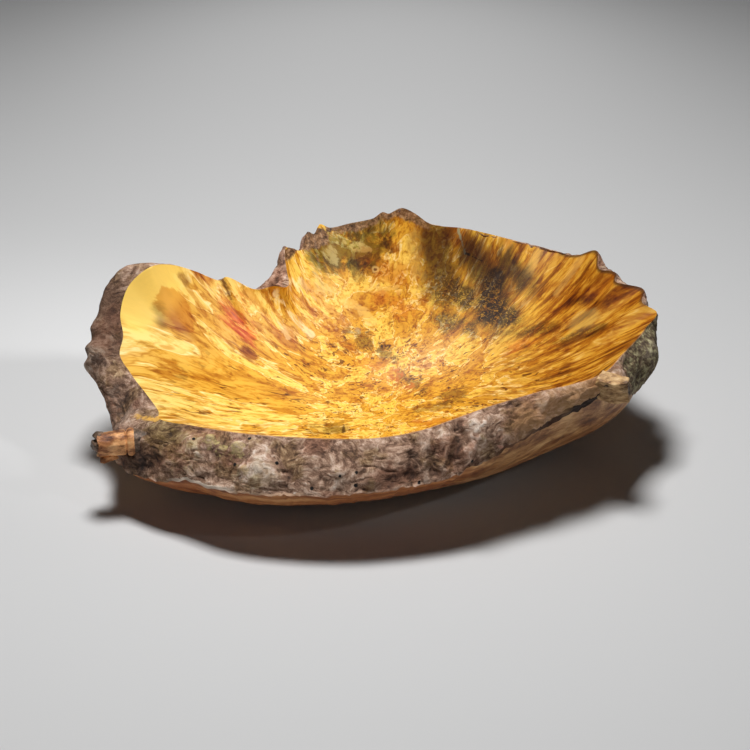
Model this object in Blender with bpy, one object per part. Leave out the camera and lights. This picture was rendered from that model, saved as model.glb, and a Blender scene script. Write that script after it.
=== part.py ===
"""A bowl carved from one maple burl, with a live edge.

The hollow is cut into the burl's knobbly natural surface, so that surface is left as the rim and as a broad
band below it. Under the band the outside is carved round, down to a small flat foot.

Metres, +Z up. The origin is the centre of the foot, on the table. +X points to the fluted end and +Y to the
tall back wall. A bearing is a direction from the bowl's upright axis, in degrees from +X towards +Y.
"""

import itertools
import math

import bmesh
import bpy
import numpy as np
from mathutils import Vector

MM = 0.001

# Driving dimensions, in millimetres
FLOOR_THICKNESS = 27.0  # wood under the deepest point of the hollow
FOOT_RADIUS = 66.0  # about where the carved underside meets the table
FOOT_SAG = 2.5  # how far the rounded underside would reach below the table, had it not been sanded flat
HOLLOW_ROUNDNESS = 2.6  # power that the hollow's depth falls with: 1 is a cone, 3 a flat-floored tub
LEDGE = 3.0  # how far the natural surface stands out past the carved underside
EDGE_REACH = 8  # power that the edge's flutes die away with towards the middle of the hollow
FLUTE_SPREAD = 24.0  # degrees of rim that one smoothed point of the hollow is drawn from

# The live edge, where the hollow meets the natural surface: bearing, reach and height
LIVE_EDGE = [
    (0, 265, 136),
    (5, 280, 141),  # first of the four flutes at the right end
    (8, 269, 145),
    (13, 276, 149),  # second flute
    (17, 256, 150),
    (20, 261, 154),  # third flute
    (23, 250, 154),
    (28, 260, 163),  # fourth flute, the tallest
    (33, 252, 151),
    (39, 245, 147),
    (46, 232, 151),
    (53, 220, 156),
    (62, 206, 162),
    (71, 196, 165),
    (76, 192, 177),
    (80, 189, 183),  # the highest point of the rim
    (84, 184, 178),
    (86, 183, 180),
    (89, 180, 174),
    (97, 175, 171),
    (104, 172, 169),
    (108, 170, 175),  # two teeth left of the back wall
    (110, 168, 166),
    (113, 166, 170),
    (116, 161, 154),
    (120, 158, 159),
    (124, 155, 162),  # shoulder above the notch
    (126, 146, 151),
    (129, 131, 134),  # inner corner of the notch
    (134, 141, 133),
    (140, 153, 131),
    (147, 172, 147),  # lip of the red fissure
    (149, 177, 144),
    (155, 193, 159),
    (161, 209, 172),
    (166, 223, 175),  # crest of the left lobe
    (170, 239, 161),
    (174, 244, 140),
    (178, 239, 124),
    (182, 241, 112),
    (187, 231, 103),
    (195, 219, 96),
    (202, 213, 90),  # near left corner
    (207, 217, 91),
    (215, 200, 94),
    (227, 181, 97),
    (242, 165, 100),
    (257, 157, 102),  # lowest stretch, nearest the viewer
    (274, 153, 103),
    (287, 157, 109),
    (300, 163, 118),
    (311, 175, 126),
    (323, 193, 130),
    (332, 212, 129),
    (340, 230, 129),
    (350, 242, 130),
]

# The point that the band's outer curve is drawn towards: bearing, reach and height
SHOULDER = [
    (0, 288, 112),
    (15, 284, 140),
    (30, 268, 158),
    (60, 214, 158),
    (90, 191, 164),
    (112, 176, 158),
    (121, 174, 162),
    (126, 162, 180),  # the surface rises behind the notch before it falls away
    (129, 165, 178),
    (133, 160, 152),
    (137, 172, 132),
    (148, 192, 138),
    (158, 240, 172),
    (166, 282, 188),  # the left lobe's rounded back
    (172, 290, 176),
    (178, 290, 140),
    (184, 290, 108),
    (191, 266, 90),
    (204, 258, 82),
    (230, 206, 90),
    (260, 181, 97),
    (290, 182, 104),
    (320, 206, 126),
    (340, 252, 132),
    (350, 264, 120),
]

# The band's lower edge, where the carved underside starts: bearing, reach, height, and how full the underside is
# below it, from 0 for a straight cone down to the foot to 1 for a quarter ellipse
LOWER_EDGE = [
    (0, 260, 76, 0.9),
    (20, 248, 92, 0.85),
    (45, 224, 98, 0.75),
    (70, 194, 104, 0.75),
    (90, 181, 106, 0.75),
    (110, 170, 102, 0.75),
    (130, 158, 86, 0.75),
    (145, 174, 84, 0.75),
    (160, 212, 86, 0.75),
    (175, 244, 70, 0.8),
    (190, 248, 53, 0.8),
    (204, 259, 50, 0.75),
    (215, 243, 50, 0.72),
    (223, 227, 58, 0.8),
    (234, 218, 61, 0.7),
    (253, 201, 65, 0.53),
    (275, 190, 70, 0.4),
    (292, 189, 75, 0.38),
    (309, 193, 88, 0.63),
    (321, 202, 97, 0.8),
    (332, 220, 105, 0.82),
    (340, 236, 105, 0.85),
    (350, 254, 86, 0.82),
]

# Knobs and hollows of the natural surface: bearing, place across the band from 0 at the live edge to 1 at its
# lower edge, half width and height
KNOBS = [
    (181, 0.45, 15, 13),  # knot on the left side, with a pit in its end
    (181, 0.48, 6, -8),
    (177, 0.35, 9, 6),
    (196, 0.45, 12, -5),
    (205, 0.70, 14, 6),
    (221, 0.30, 9, 4),
    (229, 0.25, 7, 4),
    (233, 0.32, 7, 5),
    (240, 0.62, 15, 6),
    (247, 0.85, 8, 3),
    (262, 0.70, 9, 3),
    (288, 0.35, 6, 3),
    (293, 0.40, 7, 4),
    (304, 0.30, 14, 4),
    (336, 0.10, 8, -9),  # dark gap under the lip at the right
    (341, 0.45, 13, 9),  # broken knob in front of it
    (348, 0.30, 9, -6),
    (356, 0.40, 17, 8),  # lichen-covered lump at the right end
    (4, 0.65, 12, 6),
    (70, 0.35, 12, 6),
    (84, 0.30, 10, 5),
    (99, 0.40, 13, 6),
    (113, 0.35, 9, 5),
    (150, 0.35, 12, 6),
    (163, 0.60, 16, 6),
]
RELIEF = [(26.0, 2.6, 11), (11.0, 1.3, 12)]  # size, height and seed of the natural surface's swells

# Broken branch stub at the near left corner
STUB_ROOT = Vector((-220.0, -86.0, 61.0))
STUB_AIM = Vector((-0.9, -0.42, 0.02))
STUB_LENGTH = 36.0  # from its root inside the wood to the broken end
STUB_RADIUS = 13.0
STUB_BREAK = 2.5  # how rough the broken end is
STUB_SIDES = 24

# Mesh density. The model is built fine and then thinned where it is smooth.
SEGMENTS = 216
HOLLOW_RINGS = 26
BAND_RINGS = 15
UNDERSIDE_RINGS = 16
TRIANGLES = 11200

# Where each surface starts along a section: the hollow, the band and the underside are one unit long each
EDGE, LOWER, END = 1.0, 2.0, 3.0
LEDGE_SHARE = 0.03  # of the underside's unit, taken by the ledge

HOLLOW_SLOT, BARK_SLOT, UNDERSIDE_SLOT = range(3)


def around(outline, bearing):
    """The other columns of a closed outline at these bearings: a smooth cubic through its stations."""
    rows = np.array(outline, float)
    knots = np.concatenate([rows[-2:, 0] - 360, rows[:, 0], rows[:2, 0] + 360])
    values = np.concatenate([rows[-2:, 1:], rows[:, 1:], rows[:2, 1:]])
    slopes = np.zeros_like(values)
    slopes[1:-1] = (values[2:] - values[:-2]) / (knots[2:] - knots[:-2])[:, None]
    bearing = np.mod(bearing, 360)
    left = np.searchsorted(knots, bearing, side="right") - 1
    width = (knots[left + 1] - knots[left])[..., None]
    share = ((bearing - knots[left])[..., None]) / width
    start = values[left] + slopes[left] * width * share * (1 - share) ** 2
    end = values[left + 1] - slopes[left + 1] * width * share**2 * (1 - share)
    ease = share**2 * (3 - 2 * share)
    smooth = values[left] * (1 - ease) + values[left + 1] * ease
    smooth += start - values[left] + end - values[left + 1]
    return tuple(np.moveaxis(smooth, -1, 0))


def without_flutes(bearing):
    """The live edge averaged over a stretch of rim, which is the shape that the hollow's deeper part follows."""
    offsets = np.linspace(-FLUTE_SPREAD, FLUTE_SPREAD, 13)
    samples = [around(LIVE_EDGE, bearing + offset) for offset in offsets]
    return tuple(np.mean(samples, axis=0))


def hollow(bearing, share):
    """Reach and height inside the bowl: share is 0 at its deepest point and 1 at the live edge."""
    edge_reach, edge_height = around(LIVE_EDGE, bearing)
    calm_reach, calm_height = without_flutes(bearing)
    near_edge = share**EDGE_REACH
    reach = share * (calm_reach + (edge_reach - calm_reach) * near_edge)
    rise = calm_height + (edge_height - calm_height) * near_edge - FLOOR_THICKNESS
    return reach, FLOOR_THICKNESS + rise * share**HOLLOW_ROUNDNESS


def band(bearing, share):
    """Reach and height on the natural surface: a curve from the live edge towards the shoulder and on down."""
    curve = ((1 - share) ** 2, 2 * share * (1 - share), share**2)
    outlines = [around(outline, bearing) for outline in (LIVE_EDGE, SHOULDER, LOWER_EDGE)]
    reach = sum(weight * outline[0] for weight, outline in zip(curve, outlines))
    height = sum(weight * outline[1] for weight, outline in zip(curve, outlines))
    return reach, height


def underside(bearing, share):
    """Reach and height below the band: in past the ledge, then round to the foot and flat to its centre."""
    reach, height, fullness = around(LOWER_EDGE, bearing)
    reach = reach - LEDGE * np.clip(share / LEDGE_SHARE, 0, 1)
    sweep = np.clip((share - LEDGE_SHARE) / (1 - LEDGE_SHARE), 0, 1)
    to_foot = np.clip(sweep / 0.8, 0, 1)
    over_foot = np.clip((sweep - 0.8) / 0.2, 0, 1)
    turn = to_foot * math.pi / 2
    run = (1 - fullness) * (1 - to_foot) + fullness * np.cos(turn)
    drop = (1 - fullness) * (1 - to_foot) + fullness * (1 - np.sin(turn))
    reach = (FOOT_RADIUS + (reach - FOOT_RADIUS) * run) * (1 - over_foot)
    return reach, height * drop - FOOT_SAG * over_foot


def section(bearing, station):
    """Points of the burl without its knobs, from the hollow's centre at station 0 to the foot's centre at 3."""
    parts = [
        hollow(bearing, np.clip(station, 0, 1)),
        band(bearing, np.clip(station - EDGE, 0, 1)),
        underside(bearing, np.clip(station - LOWER, 0, 1)),
    ]
    where = [station <= EDGE, station <= LOWER, station <= END]
    reach = np.select(where, [part[0] for part in parts])
    height = np.select(where, [part[1] for part in parts])
    angle = np.radians(bearing)
    return np.stack([reach * np.cos(angle), reach * np.sin(angle), height], axis=-1)


def outward(bearing, station):
    """Unit normals of the natural surface, from two short steps along it."""
    step = 0.01
    across = section(bearing + step, station) - section(bearing - step, station)
    down = band_point(bearing, station + step) - band_point(bearing, station - step)
    normal = np.cross(down, across)
    return normal / np.linalg.norm(normal, axis=-1, keepdims=True)


def band_point(bearing, station):
    """A point of the band's curve, carried on a little past either end, so that a slope can be read there."""
    reach, height = band(bearing, station - EDGE)
    angle = np.radians(bearing)
    return np.stack([reach * np.cos(angle), reach * np.sin(angle), height], axis=-1)


def swell(points, size, seed):
    """Smooth noise from -1 to 1: random values on a repeating lattice of cells, eased from corner to corner."""
    side = 32
    values = np.random.default_rng(seed).uniform(-1, 1, (side, side, side))
    cell = np.floor(points / size).astype(int)
    part = points / size - cell
    ease = part**2 * (3 - 2 * part)
    total = np.zeros(points.shape[:-1])
    for corner in itertools.product((0, 1), repeat=3):
        weight = np.prod(np.where(corner, ease, 1 - ease), axis=-1)
        x, y, z = np.moveaxis((cell + corner) % side, -1, 0)
        total += weight * values[x, y, z]
    return total


def relief(points, bearing, station):
    """How far the natural surface stands out from the smooth band: swells, and the knobs one by one."""
    height = sum(tall * swell(points, size, seed) for size, tall, seed in RELIEF)
    for knob_bearing, place, width, tall in KNOBS:
        centre = section(np.array([float(knob_bearing)]), np.array([EDGE + place]))[0]
        distance = np.linalg.norm(points - centre, axis=-1)
        height = height + tall * np.exp(-((distance / width) ** 2))
    inside_band = np.clip((station - EDGE) / 0.2, 0, 1) * np.clip((LOWER - station) / 0.15, 0, 1)
    return height * inside_band


def burl_surface(bearing, station):
    """Points of the finished surface, in millimetres."""
    points = section(bearing, station)
    on_band = (station > EDGE) & (station < LOWER)
    lift = relief(points, bearing, station) * on_band
    return points + outward(bearing, np.clip(station, EDGE, LOWER)) * lift[..., None]


def ring_stations():
    """The station of each ring of the sphere that the burl is shaped from, closer together at the live edge."""
    inside = np.linspace(0, 1, HOLLOW_RINGS + 1) ** 0.85
    on_band = EDGE + np.linspace(0, 1, BAND_RINGS + 1)[1:]
    ledge_foot = [LOWER + LEDGE_SHARE]
    below = LOWER + np.linspace(LEDGE_SHARE, 1, UNDERSIDE_RINGS + 1)[1:]
    return np.concatenate([inside, on_band, ledge_foot, below])


def wood(name, colour, roughness):
    """A plain Principled material."""
    material = bpy.data.materials.new(name)
    material.use_nodes = True
    shader = material.node_tree.nodes["Principled BSDF"]
    shader.inputs["Base Color"].default_value = (*colour, 1.0)
    shader.inputs["Roughness"].default_value = roughness
    shader.inputs["Metallic"].default_value = 0.0
    return material


def shaped_burl(stations):
    """A sphere's rings laid along the burl's sections: its top pole is the hollow's centre, its foot the other."""
    rings = len(stations) - 1
    mesh = bpy.data.meshes.new("burl_form")
    form = bmesh.new()
    bmesh.ops.create_uvsphere(form, u_segments=SEGMENTS, v_segments=rings, radius=1.0)
    form.to_mesh(mesh)
    form.free()
    points = np.empty(len(mesh.vertices) * 3)
    mesh.vertices.foreach_get("co", points)
    points = points.reshape(-1, 3)
    ring = np.rint(np.arccos(np.clip(points[:, 2], -1, 1)) / math.pi * rings).astype(int)
    bearing = np.degrees(np.arctan2(points[:, 1], points[:, 0])) % 360
    station = stations[ring]
    mesh.vertices.foreach_set("co", (burl_surface(bearing, station) * MM).ravel())
    face_station = [station[list(face.vertices)].mean() for face in mesh.polygons]
    slots = np.select(
        [np.array(face_station) < EDGE, np.array(face_station) < LOWER],
        [HOLLOW_SLOT, BARK_SLOT],
        UNDERSIDE_SLOT,
    )
    mesh.polygons.foreach_set("material_index", slots.astype(np.int32))
    mesh.update()
    return mesh


def branch_stub(collection):
    """The broken branch: a short cylinder whose outer end is ragged."""
    mesh = bpy.data.meshes.new("branch_stub")
    form = bmesh.new()
    bmesh.ops.create_cone(
        form,
        cap_ends=True,
        segments=STUB_SIDES,
        radius1=STUB_RADIUS * 1.15 * MM,
        radius2=STUB_RADIUS * MM,
        depth=STUB_LENGTH * MM,
    )
    ragged = np.random.default_rng(5).uniform(-1, 1, STUB_SIDES)
    outer = [vertex for vertex in form.verts if vertex.co.z > 0]
    for vertex, jump in zip(outer, ragged):
        vertex.co.z += jump * STUB_BREAK * MM
    form.to_mesh(mesh)
    form.free()
    stub = bpy.data.objects.new("branch_stub", mesh)
    stub.rotation_euler = STUB_AIM.to_track_quat("Z", "Y").to_euler()
    stub.location = (STUB_ROOT + STUB_AIM.normalized() * STUB_LENGTH / 2) * MM
    stub.hide_render = True
    stub.display_type = "WIRE"
    collection.objects.link(stub)
    return stub


def baked(obj):
    """The object's mesh as its modifiers leave it."""
    graph = bpy.context.evaluated_depsgraph_get()
    return bpy.data.meshes.new_from_object(obj.evaluated_get(graph))


def sand_foot_flat(mesh):
    """Cuts the rounded underside off level with the table and closes it with one flat face."""
    form = bmesh.new()
    form.from_mesh(mesh)
    geometry = form.verts[:] + form.edges[:] + form.faces[:]
    cut = bmesh.ops.bisect_plane(
        form, geom=geometry, plane_co=(0, 0, 0), plane_no=(0, 0, -1), clear_outer=True
    )
    rim = [item for item in cut["geom_cut"] if isinstance(item, bmesh.types.BMEdge)]
    foot = bmesh.ops.contextual_create(form, geom=rim)["faces"]
    for face in foot:
        face.material_index = UNDERSIDE_SLOT
    bmesh.ops.recalc_face_normals(form, faces=form.faces[:])
    form.to_mesh(mesh)
    form.free()


def main():
    for old in list(bpy.data.objects):
        bpy.data.objects.remove(old)
    scene = bpy.context.scene.collection
    bowl_parts = bpy.data.collections.new("maple_burl_bowl")
    helpers = bpy.data.collections.new("helpers")
    scene.children.link(bowl_parts)
    scene.children.link(helpers)

    bowl = bpy.data.objects.new("burl_bowl", shaped_burl(ring_stations()))
    bowl_parts.objects.link(bowl)
    for material in (
        wood("oiled_spalted_maple", (0.72, 0.38, 0.07), 0.32),
        wood("weathered_burl_skin", (0.16, 0.12, 0.10), 0.85),
        wood("carved_underside", (0.42, 0.24, 0.13), 0.5),
    ):
        bowl.data.materials.append(material)

    thin = bowl.modifiers.new("thin smooth areas", "DECIMATE")
    faces = sum(len(face.vertices) - 2 for face in bowl.data.polygons)
    thin.ratio = TRIANGLES / faces
    thin.use_collapse_triangulate = True
    join = bowl.modifiers.new("branch stub", "BOOLEAN")
    join.operation = "UNION"
    join.object = branch_stub(helpers)
    bpy.context.view_layer.update()

    finished = baked(bowl)
    sand_foot_flat(finished)
    bowl.modifiers.clear()
    bowl.data = finished
    bowl.data.shade_smooth()
    bowl.data.set_sharp_from_angle(angle=math.radians(50))
    for helper in list(helpers.objects):
        bpy.data.objects.remove(helper)


if __name__ == "__main__":
    main()
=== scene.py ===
"""Looks of the maple burl bowl: one fine closed surface for its solid, its woods and a plain studio.

The surface uses the same outlines as the solid, in millimetres, and adds the relief that the solid leaves
out. A bearing is a direction from the bowl's upright axis, in degrees from +X towards +Y. A station runs
along a section: 0 at the hollow's centre, 1 at the live edge, 2 at the band's lower edge, and 3 at the
foot's centre.
"""

import itertools
import math

import bpy
import numpy as np
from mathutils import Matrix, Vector


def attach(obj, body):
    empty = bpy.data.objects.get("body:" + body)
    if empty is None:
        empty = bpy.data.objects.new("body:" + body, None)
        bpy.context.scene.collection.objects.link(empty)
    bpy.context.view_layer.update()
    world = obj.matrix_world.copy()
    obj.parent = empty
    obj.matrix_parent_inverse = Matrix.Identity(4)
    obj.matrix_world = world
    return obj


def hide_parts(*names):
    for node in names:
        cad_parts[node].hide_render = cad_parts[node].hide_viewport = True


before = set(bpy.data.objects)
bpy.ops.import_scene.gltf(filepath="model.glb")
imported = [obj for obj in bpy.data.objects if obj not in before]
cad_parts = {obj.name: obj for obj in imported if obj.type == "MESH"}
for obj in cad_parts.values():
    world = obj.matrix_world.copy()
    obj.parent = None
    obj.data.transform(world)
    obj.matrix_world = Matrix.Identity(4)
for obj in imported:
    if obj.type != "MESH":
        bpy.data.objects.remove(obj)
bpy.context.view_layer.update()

MM = 0.001

FLOOR_THICKNESS = 27.0
FOOT_RADIUS = 66.0
# How far the underside's curve would sink below the table over the foot, where it is cut off flat
FOOT_SAG = 2.5
# The powers of the share of the way out by which the hollow's height and the live edge's lobes grow in
HOLLOW_ROUNDNESS = 2.6
EDGE_REACH = 8
# The degrees to either side over which the live edge is averaged for the walls below its lobes
FLUTE_SPREAD = 24.0
# Stations of the live edge, the band's lower edge and the foot's centre
EDGE, LOWER, END = 1.0, 2.0, 3.0

# The ledge below the band: its share of the way to the foot's centre, its depth, the share of the way
# over which it fades and how much of it is left then, and how much deeper it is at the bearing, over the
# degrees to either side, where the band's edge overhangs at the right
LEDGE_SHARE = 0.03
LEDGE_DEPTH = 2.5
LEDGE_FADE = 0.2
LEDGE_KEPT = 0.4
OVERHANG_DEPTH = 5.0
OVERHANG = (325, 10)
# The share of the way in from the ledge at which the flat foot begins
FOOT_START = 0.8
# Chips out of the band's lower edge: height, pitch in degrees and seed
EDGE_CHIPS = [(1.7, 1.8, 71), (1.1, 0.9, 72)]
# The lobe at the left is smoother than the rest: its bearing, the degrees to either side, and how much
# smoother
CALM_LOBE = (172, 26)
CALM = 0.6
# The pale strip that peels off the lower edge at the left: its bearing, the degrees to either side, its
# lift, its top station, and how ragged that is
PEELING = (233, 11)
PEELING_LIFT = 1.4
PEELING_TOP = 1.9
PEELING_RAGGED = 0.04

# The broken branch: its root, direction, length, radius at the end and how much wider it is at the root
STUB_ROOT = (-206.0, -106.0, 72.0)
STUB_AIM = (-1.0, -0.16, 0.0)
STUB_LENGTH = 46.0
STUB_RADIUS = 11.2
STUB_TAPER = 1.5
# Rings round it: height along it, half width, and how far each stands out, for a collar of bark and a slit
STUB_RINGS = [(14.5, 2.6, 0.9), (18.8, 0.9, -2.2)]
# Where its bark ends, and from where to where along it the broken end grows rough
STUB_BARK_END = 11.5
STUB_TORN = (28.0, 43.0)

SEGMENTS = 640
HOLLOW_RINGS = 44
BAND_RINGS = 82
UNDERSIDE_RINGS = 24
STUB_SEGMENTS = 96
STUB_END_RINGS = 14
STUB_SIDE_RINGS = 72
CHIP_RINGS = 48
CHIP_SEGMENTS = 96

# The live edge: bearing, reach and height
LIVE_EDGE = [
    (0, 265, 136), (5, 280, 141), (8, 269, 145), (13, 276, 149), (17, 256, 150), (20, 261, 154),
    (23, 250, 154), (28, 260, 163), (33, 252, 151), (39, 245, 147), (46, 232, 151), (53, 220, 156),
    (62, 206, 162), (71, 196, 165), (76, 192, 177), (80, 189, 183), (84, 184, 178), (86, 183, 180),
    (89, 180, 174), (97, 175, 171), (104, 172, 169), (108, 170, 175), (110, 168, 166), (113, 166, 170),
    (116, 161, 154), (120, 158, 159), (124, 155, 162), (126, 146, 151), (129, 131, 134),
    (134, 141, 133), (140, 153, 131), (147, 172, 147), (149, 177, 144), (155, 193, 159),
    (161, 209, 172), (166, 223, 175), (170, 239, 161), (174, 244, 140), (178, 239, 124),
    (182, 241, 112), (187, 231, 103), (195, 219, 96), (202, 213, 90), (207, 217, 91), (215, 200, 94),
    (227, 181, 97), (242, 165, 100), (257, 157, 102), (274, 153, 103), (287, 157, 109), (300, 163, 118),
    (311, 175, 126), (323, 193, 130), (332, 212, 129), (340, 230, 129), (350, 242, 130),
]

# The point that the band's outer curve is drawn towards: bearing, reach and height
SHOULDER = [
    (0, 288, 112), (15, 284, 140), (30, 268, 158), (60, 214, 158), (90, 191, 164), (112, 176, 158),
    (121, 174, 162), (126, 162, 180), (129, 165, 178), (133, 160, 152), (137, 172, 132),
    (148, 192, 138), (158, 240, 172), (166, 282, 188), (172, 290, 176), (178, 290, 140),
    (184, 290, 108), (191, 266, 90), (204, 258, 82), (230, 206, 90), (260, 181, 97), (290, 182, 104),
    (320, 206, 126), (340, 252, 132), (350, 264, 120),
]

# The band's lower edge: bearing, reach, height, and how full the underside is below it
LOWER_EDGE = [
    (0, 260, 76, 0.9), (20, 248, 92, 0.85), (45, 224, 98, 0.75), (70, 194, 104, 0.75),
    (90, 181, 106, 0.75), (110, 170, 102, 0.75), (130, 158, 86, 0.75), (145, 174, 84, 0.75),
    (160, 212, 86, 0.75), (175, 244, 70, 0.8), (190, 248, 53, 0.8), (204, 259, 50, 0.75),
    (215, 243, 50, 0.72), (223, 227, 58, 0.8), (234, 218, 61, 0.7), (253, 201, 65, 0.53),
    (275, 190, 70, 0.4), (292, 189, 75, 0.38), (309, 193, 88, 0.63), (321, 202, 97, 0.8),
    (332, 220, 105, 0.82), (340, 236, 105, 0.85), (350, 254, 86, 0.82),
]

# Knobs and hollows of the natural surface: bearing, place across the band, half width and height
KNOBS = [
    (181, 0.45, 15, 13), (181, 0.48, 6, -8), (177, 0.35, 9, 6), (196, 0.45, 12, -5), (205, 0.70, 14, 6),
    (210, 0.45, 6, 4), (221, 0.30, 9, 3), (223.4, 0.20, 4.5, 5), (227.5, 0.36, 4.5, 5),
    (231.8, 0.30, 6, 7), (236, 0.66, 4, 4), (240, 0.62, 14, 8), (247, 0.80, 8, 4), (262, 0.70, 9, 4),
    (288, 0.35, 6, 3), (293, 0.40, 7, 4), (304, 0.30, 14, 4), (336, 0.10, 8, -9), (341, 0.45, 13, 5),
    (348, 0.30, 9, -6), (356, 0.40, 17, 8), (4, 0.65, 12, 6), (70, 0.35, 12, 6), (84, 0.30, 10, 5),
    (99, 0.40, 13, 6), (113, 0.35, 9, 5), (150, 0.35, 12, 6), (163, 0.60, 16, 6),
]
# By how many degrees the furrows and ridges wander
FURROW_WANDER = 0.8
# Furrows and ridges that cross the band: bearing at the live edge and at the lower edge, half width in
# degrees, and height
FURROWS = [
    (246, 247, 1.6, -1.6), (264, 263, 1.2, -1.6), (271, 271, 1.5, 1.2), (277, 276, 1.0, -1.2),
    (284, 281, 1.4, -3.6), (288, 285, 1.0, 2.8), (291, 288, 1.1, -3.6), (294, 290, 0.9, 3.0),
    (299, 293, 1.8, -4.8), (304, 298, 1.4, 2.6), (309, 303, 1.2, -1.4), (316, 309, 1.5, -1.4),
    (212, 214, 1.6, -2.0), (192, 197, 2.0, -1.6), (20, 22, 1.6, -2.6), (31, 34, 2.2, -3.0),
    (66, 66, 2.4, -2.6), (95, 96, 2.2, -2.6), (118, 118, 2.0, -2.6), (153, 152, 2.0, -2.4),
]
RELIEF = [(26.0, 2.6, 11), (11.0, 1.3, 12)]  # size, height and seed, as on the solid
FINE_RELIEF = [(14.0, 1.3, 20), (6.0, 0.8, 21), (3.4, 0.6, 22)]  # the same, for what only shows close up
CREASES = [(19.0, 0.08, 1.3, 25), (9.0, 0.10, 0.8, 26)]  # size, how wide a crease is, depth and seed


def around(outline, bearing):
    """The other columns of a closed outline at these bearings: a smooth cubic through its stations."""
    rows = np.array(outline, float)
    knots = np.concatenate([rows[-2:, 0] - 360, rows[:, 0], rows[:2, 0] + 360])
    values = np.concatenate([rows[-2:, 1:], rows[:, 1:], rows[:2, 1:]])
    slopes = np.zeros_like(values)
    slopes[1:-1] = (values[2:] - values[:-2]) / (knots[2:] - knots[:-2])[:, None]
    bearing = np.mod(bearing, 360)
    left = np.searchsorted(knots, bearing, side="right") - 1
    width = (knots[left + 1] - knots[left])[..., None]
    share = ((bearing - knots[left])[..., None]) / width
    start = values[left] + slopes[left] * width * share * (1 - share) ** 2
    end = values[left + 1] - slopes[left + 1] * width * share**2 * (1 - share)
    ease = share**2 * (3 - 2 * share)
    smooth = values[left] * (1 - ease) + values[left + 1] * ease
    smooth += start - values[left] + end - values[left + 1]
    return tuple(np.moveaxis(smooth, -1, 0))


def without_flutes(bearing):
    """The live edge averaged over a stretch of rim."""
    offsets = np.linspace(-FLUTE_SPREAD, FLUTE_SPREAD, 13)
    samples = [around(LIVE_EDGE, bearing + offset) for offset in offsets]
    return tuple(np.mean(samples, axis=0))


def ripple(bearing, pitch, seed):
    """Smooth noise from -1 to 1 round the bowl: random values every pitch degrees, eased from each to the
    next."""
    count = round(360 / pitch)
    values = np.random.default_rng(seed).uniform(-1, 1, count)
    place = np.mod(bearing, 360) / 360 * count
    left = np.floor(place).astype(int)
    part = place - left
    ease = part**2 * (3 - 2 * part)
    return values[left % count] * (1 - ease) + values[(left + 1) % count] * ease


def swell(points, size, seed):
    """Smooth noise from -1 to 1: random values on a repeating lattice, eased from each corner to the
    next."""
    side = 32
    values = np.random.default_rng(seed).uniform(-1, 1, (side, side, side))
    cell = np.floor(points / size).astype(int)
    part = points / size - cell
    ease = part**2 * (3 - 2 * part)
    total = np.zeros(points.shape[:-1])
    for corner in itertools.product((0, 1), repeat=3):
        weight = np.prod(np.where(corner, ease, 1 - ease), axis=-1)
        x, y, z = np.moveaxis((cell + corner) % side, -1, 0)
        total += weight * values[x, y, z]
    return total


def hollow(bearing, share):
    """Reach and height inside the bowl: reach grows with share, height with share to HOLLOW_ROUNDNESS."""
    edge_reach, edge_height = around(LIVE_EDGE, bearing)
    calm_reach, calm_height = without_flutes(bearing)
    near_edge = share**EDGE_REACH
    reach = share * (calm_reach + (edge_reach - calm_reach) * near_edge)
    rise = calm_height + (edge_height - calm_height) * near_edge - FLOOR_THICKNESS
    return reach, FLOOR_THICKNESS + rise * share**HOLLOW_ROUNDNESS


def near(bearing, centre, width):
    """A bell curve round the bowl: 1 at this bearing, and e^-1 this many degrees to either side of it."""
    apart = (bearing - centre + 180) % 360 - 180
    return np.exp(-((apart / width) ** 2))


def lower_edge(bearing):
    """The band's lower edge, its height broken by up to 3 mm either way where the natural surface chipped
    off, and how full the underside is below it."""
    reach, height, fullness = around(LOWER_EDGE, bearing)
    chips = sum(tall * ripple(bearing, pitch, seed) for tall, pitch, seed in EDGE_CHIPS)
    return reach, height + chips, fullness


def band(bearing, share):
    """Reach and height on the natural surface, s its share: (1-s)^2 edge + 2s(1-s) shoulder + s^2 lower
    edge."""
    curve = ((1 - share) ** 2, 2 * share * (1 - share), share**2)
    outlines = [around(LIVE_EDGE, bearing), around(SHOULDER, bearing), lower_edge(bearing)]
    reach = sum(weight * outline[0] for weight, outline in zip(curve, outlines))
    height = sum(weight * outline[1] for weight, outline in zip(curve, outlines))
    return reach, height


def underside(bearing, share):
    """Reach and height below the band: in past a ledge, which is deeper where the band's edge overhangs
    at the right, then along a curve between a cone and a quarter ellipse to the foot."""
    reach, height, fullness = lower_edge(bearing)
    ledge = LEDGE_DEPTH + OVERHANG_DEPTH * near(bearing, *OVERHANG)
    sweep = np.clip((share - LEDGE_SHARE) / (1 - LEDGE_SHARE), 0, 1)
    fading = np.clip(sweep / LEDGE_FADE, 0, 1) ** 2
    reach = reach - ledge * np.clip(share / LEDGE_SHARE, 0, 1) * (1 - fading * (1 - LEDGE_KEPT))
    to_foot = np.clip(sweep / FOOT_START, 0, 1)
    over_foot = np.clip((sweep - FOOT_START) / (1 - FOOT_START), 0, 1)
    turn = to_foot * math.pi / 2
    run = (1 - fullness) * (1 - to_foot) + fullness * np.cos(turn)
    drop = (1 - fullness) * (1 - to_foot) + fullness * (1 - np.sin(turn))
    reach = (FOOT_RADIUS + (reach - FOOT_RADIUS) * run) * (1 - over_foot)
    return reach, np.maximum(height * drop - FOOT_SAG * over_foot, 0)


def placed(bearing, reach, height):
    """Points at these bearings, reaches and heights."""
    angle = np.radians(bearing)
    return np.stack([reach * np.cos(angle), reach * np.sin(angle), height], axis=-1)


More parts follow.
